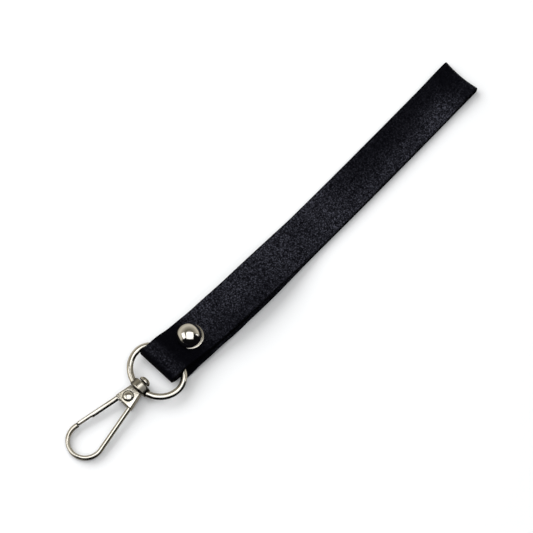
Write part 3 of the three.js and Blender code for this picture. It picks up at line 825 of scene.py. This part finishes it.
# ------------------------------------------------------------------ gate
GATE_SLOPE = math.radians(11.2)
LOOP_OUTER = LOOP_RADIUS + BAR_WIDTH / 2
GATE_TIP_X = LOOP_CENTRE_X + LOOP_RADIUS * math.cos(math.radians(NOSE_ANGLE)) + 0.35
GATE_ROOT_X, GATE_STEP_X = -2.2, -15.2
DEEP_SIDE, SHALLOW_SIDE = 1.9, 1.15
GATE_HEIGHT, CHANNEL_HALF = 2.6, 0.75
GATE_LUG_RADIUS, GATE_SHEET = 1.6, 0.7
WEDGE_FROM, WEDGE_TO = 0.85, 3.2  # depths behind the gate's outer face
WEDGE_EDGE, WEDGE_TOP, WEDGE_FOOT = 1.33, 2.3, -0.26


def gate_outer_y(x):
    """Outer face of the gate at x: the straight line that touches the round end."""
    along = (x - LOOP_CENTRE_X) * math.sin(GATE_SLOPE)
    return (LOOP_OUTER - along) / math.cos(GATE_SLOPE)


def bevel_wedge(face):
    """What is taken off the gate's inner edge, on its upper (1) or lower (-1) face."""
    xs = steps(GATE_TIP_X - 1, GATE_ROOT_X - 1.2, 12)

    def ring(i):
        y = gate_outer_y(xs[i])
        corners = ((WEDGE_FROM, WEDGE_EDGE), (WEDGE_FROM, WEDGE_TOP),
                   (WEDGE_TO, WEDGE_TOP), (WEDGE_TO, WEDGE_FOOT))
        return [(xs[i], y - depth, face * up) for depth, up in corners]

    return sweep("wedge", xs, ring, Matrix.Identity(4))


def gate_lever():
    def side(x, depth):
        return (x, gate_outer_y(x) - depth)

    outline = [
        side(GATE_TIP_X, 0), side(GATE_TIP_X, SHALLOW_SIDE),
        side(GATE_STEP_X - 0.5, SHALLOW_SIDE), side(GATE_STEP_X, DEEP_SIDE),
        side(GATE_ROOT_X - 1.8, DEEP_SIDE),
        *[(GATE_LUG_RADIUS * math.cos(math.radians(a)), GATE_LUG_RADIUS * math.sin(math.radians(a)))
          for a in range(-115, 96, 15)],
        side(GATE_ROOT_X, 0),
    ]
    lever = prism("gate_channel", outline, -GATE_HEIGHT / 2, GATE_HEIGHT / 2)
    inside = prism("inside", [
        side(GATE_ROOT_X - 0.3, GATE_SHEET), side(GATE_STEP_X - 3, GATE_SHEET),
        side(GATE_STEP_X - 3, 6),
        (4, -6), (4, 1.7),
    ], -CHANNEL_HALF, CHANNEL_HALF)
    soften(lever, 0.3, 4)
    cut(lever, inside, bevel_wedge(1), bevel_wedge(-1))
    soften(lever, 0.06, 2)
    # Painted shade on the lever's lug where it runs under the block.
    mark_painted_shade(lever, lambda middle: middle.x > BLOCK_FOOT_X - 0.6)
    lever.data.transform(CLASP)
    dress(lever, NICKEL, "nickel", "gate", "gate_lever")


def kept_nodes():
    """Hidden inner pieces keep their own shape and get the same finishes."""
    for name, material in (("rivet_socket", NICKEL), ("rivet_post", NICKEL), ("gate_spring", SPRING)):
        node = frame["nodes"][name]
        node.data.materials.clear()
        node.data.materials.append(material)


# ------------------------------------------------------------------ floor, lights, camera
FLOOR_HALF = 3000  # millimetres
PAPER_LOW, PAPER_HIGH = (0.915, 0.93, 0.955), (0.93, 0.945, 0.97)


def floor():
    signs = ((-1, -1), (1, -1), (1, 1), (-1, 1))
    mesh = bpy.data.meshes.new("floor")
    corners = [(x * FLOOR_HALF * MM, y * FLOOR_HALF * MM, 0) for x, y in signs]
    mesh.from_pydata(corners, [], [(0, 1, 2, 3)])
    ground = add_object("floor", mesh)
    n = MaterialNodes("paper_floor")
    speckle = n.noise(n.add("ShaderNodeTexCoord").outputs["Object"], scale=900)
    n.link(n.mix(speckle, PAPER_LOW, PAPER_HIGH), n.shader.inputs["Base Color"])
    n.shader.inputs["Roughness"].default_value = 0.9
    n.shader.inputs["Specular IOR Level"].default_value = 0.1
    ground.data.materials.append(n.material)
    ground.visible_glossy = False  # the world stands for the floor in the metal's reflections


def toward(azimuth, elevation):
    """The unit vector from the object towards a place in the room; azimuth 0 is at -Y."""
    a, e = math.radians(azimuth), math.radians(elevation)
    return Vector((math.sin(a) * math.cos(e), -math.cos(a) * math.cos(e), math.sin(e)))


def softbox(name, back, distance, width, height, brightness, across=None):
    """A rectangular light facing the object, in metres, with the given brightness of its face."""
    light = bpy.data.lights.new(name, "AREA")
    light.shape = "RECTANGLE"
    light.size, light.size_y = width, height
    light.energy = brightness * math.pi * width * height
    lamp = add_object(name, light)
    x = across or Vector((0, 0, 1)).cross(back)
    x = (x - back * x.dot(back)).normalized()
    lamp.matrix_world = Matrix((x, back.cross(x), back)).transposed().to_4x4()
    lamp.location = back * distance
    return lamp


CAMERA_AZIMUTH, CAMERA_ELEVATION, CAMERA_DISTANCE = -46.15, 68.0, 1.0
CAMERA_TARGET = Vector((-3.22, 0.83, 0)) * MM
CAMERA_LENS = 165.5


def camera():
    data = bpy.data.cameras.new("camera")
    data.lens = CAMERA_LENS
    data.sensor_width = 36
    data.clip_start, data.clip_end = 0.05, 20
    cam = add_object("camera", data)
    back = toward(CAMERA_AZIMUTH, CAMERA_ELEVATION)
    cam.location = CAMERA_TARGET + back * CAMERA_DISTANCE
    cam.rotation_mode = "QUATERNION"
    cam.rotation_quaternion = back.to_track_quat("Z", "Y")
    bpy.context.scene.camera = cam


VIEW_RIGHT = toward(CAMERA_AZIMUTH + 90, 0)
DARK_SIDE = toward(-25, 0)
FLOOR_NEAR, FLOOR_FAR = (0.26, 0.24, 0.2), (0.6, 0.57, 0.5)
CEILING_EDGE, CEILING = (0.14, 0.13, 0.105), (0.5, 0.49, 0.45)
DARK = (0.004, 0.004, 0.005)
OVERHEAD_SHIFT = math.radians(7)  # how far the overhead panel stands to the view's right


def world():
    """What the metal mirrors: a warm floor that pales to the horizon, walls that darken upwards,
    a pale ceiling, and one dark side."""
    sky = bpy.data.worlds.new("room")
    bpy.context.scene.world = sky
    sky.use_nodes = True
    n = Nodes(sky.node_tree)
    direction = n.add("ShaderNodeTexCoord").outputs["Generated"]
    facing = n.add("ShaderNodeVectorMath", operation="DOT_PRODUCT")
    n.link(direction, facing.inputs[0])
    facing.inputs[1].default_value = DARK_SIDE
    split = n.add("ShaderNodeSeparateXYZ")
    n.link(direction, split.inputs[0])
    height = split.outputs["Z"]
    room = n.mix(n.ramp(height, -0.9, -0.05), FLOOR_NEAR, FLOOR_FAR)
    room = n.mix(n.ramp(height, 0.1, 0.82), room, CEILING_EDGE)
    room = n.mix(n.ramp(height, 0.86, 0.96), room, CEILING)
    room = n.mix(n.ramp(facing.outputs["Value"], 0.05, 0.3), room, DARK)
    n.link(room, n.tree.nodes["Background"].inputs["Color"])


def lights():
    """Panels that the metal mirrors, and a soft side light for the floor and shadow."""
    over = toward(CAMERA_AZIMUTH, 72)
    middle = over * math.cos(OVERHEAD_SHIFT) + VIEW_RIGHT * math.sin(OVERHEAD_SHIFT)
    softbox("overhead", middle, distance=1.15, width=1.45, height=1.4, brightness=1.35,
            across=VIEW_RIGHT)
    softbox("left_panel", toward(CAMERA_AZIMUTH - 75, 38), distance=1.15, width=1.0, height=0.6,
            brightness=1.3)
    softbox("right_strip", toward(CAMERA_AZIMUTH + 92, 14), distance=1.15, width=0.16, height=0.6,
            brightness=1.3)
    fill = softbox("side_fill", toward(180, 42), distance=1.3, width=1.4, height=1.0,
                   brightness=3.1)
    fill.visible_glossy = False


# ------------------------------------------------------------------ make everything
camera()
leather_strip()
rivet_pieces()
swivel_eye()
swivel_pin()
hook_bar()
hook_block()
nose_tongue()
gate_hinge_pin()
gate_lever()
kept_nodes()
floor()
world()
lights()

view = bpy.context.scene.view_settings
view.view_transform = "Standard"
view.look = "None"
view.exposure = 0.0
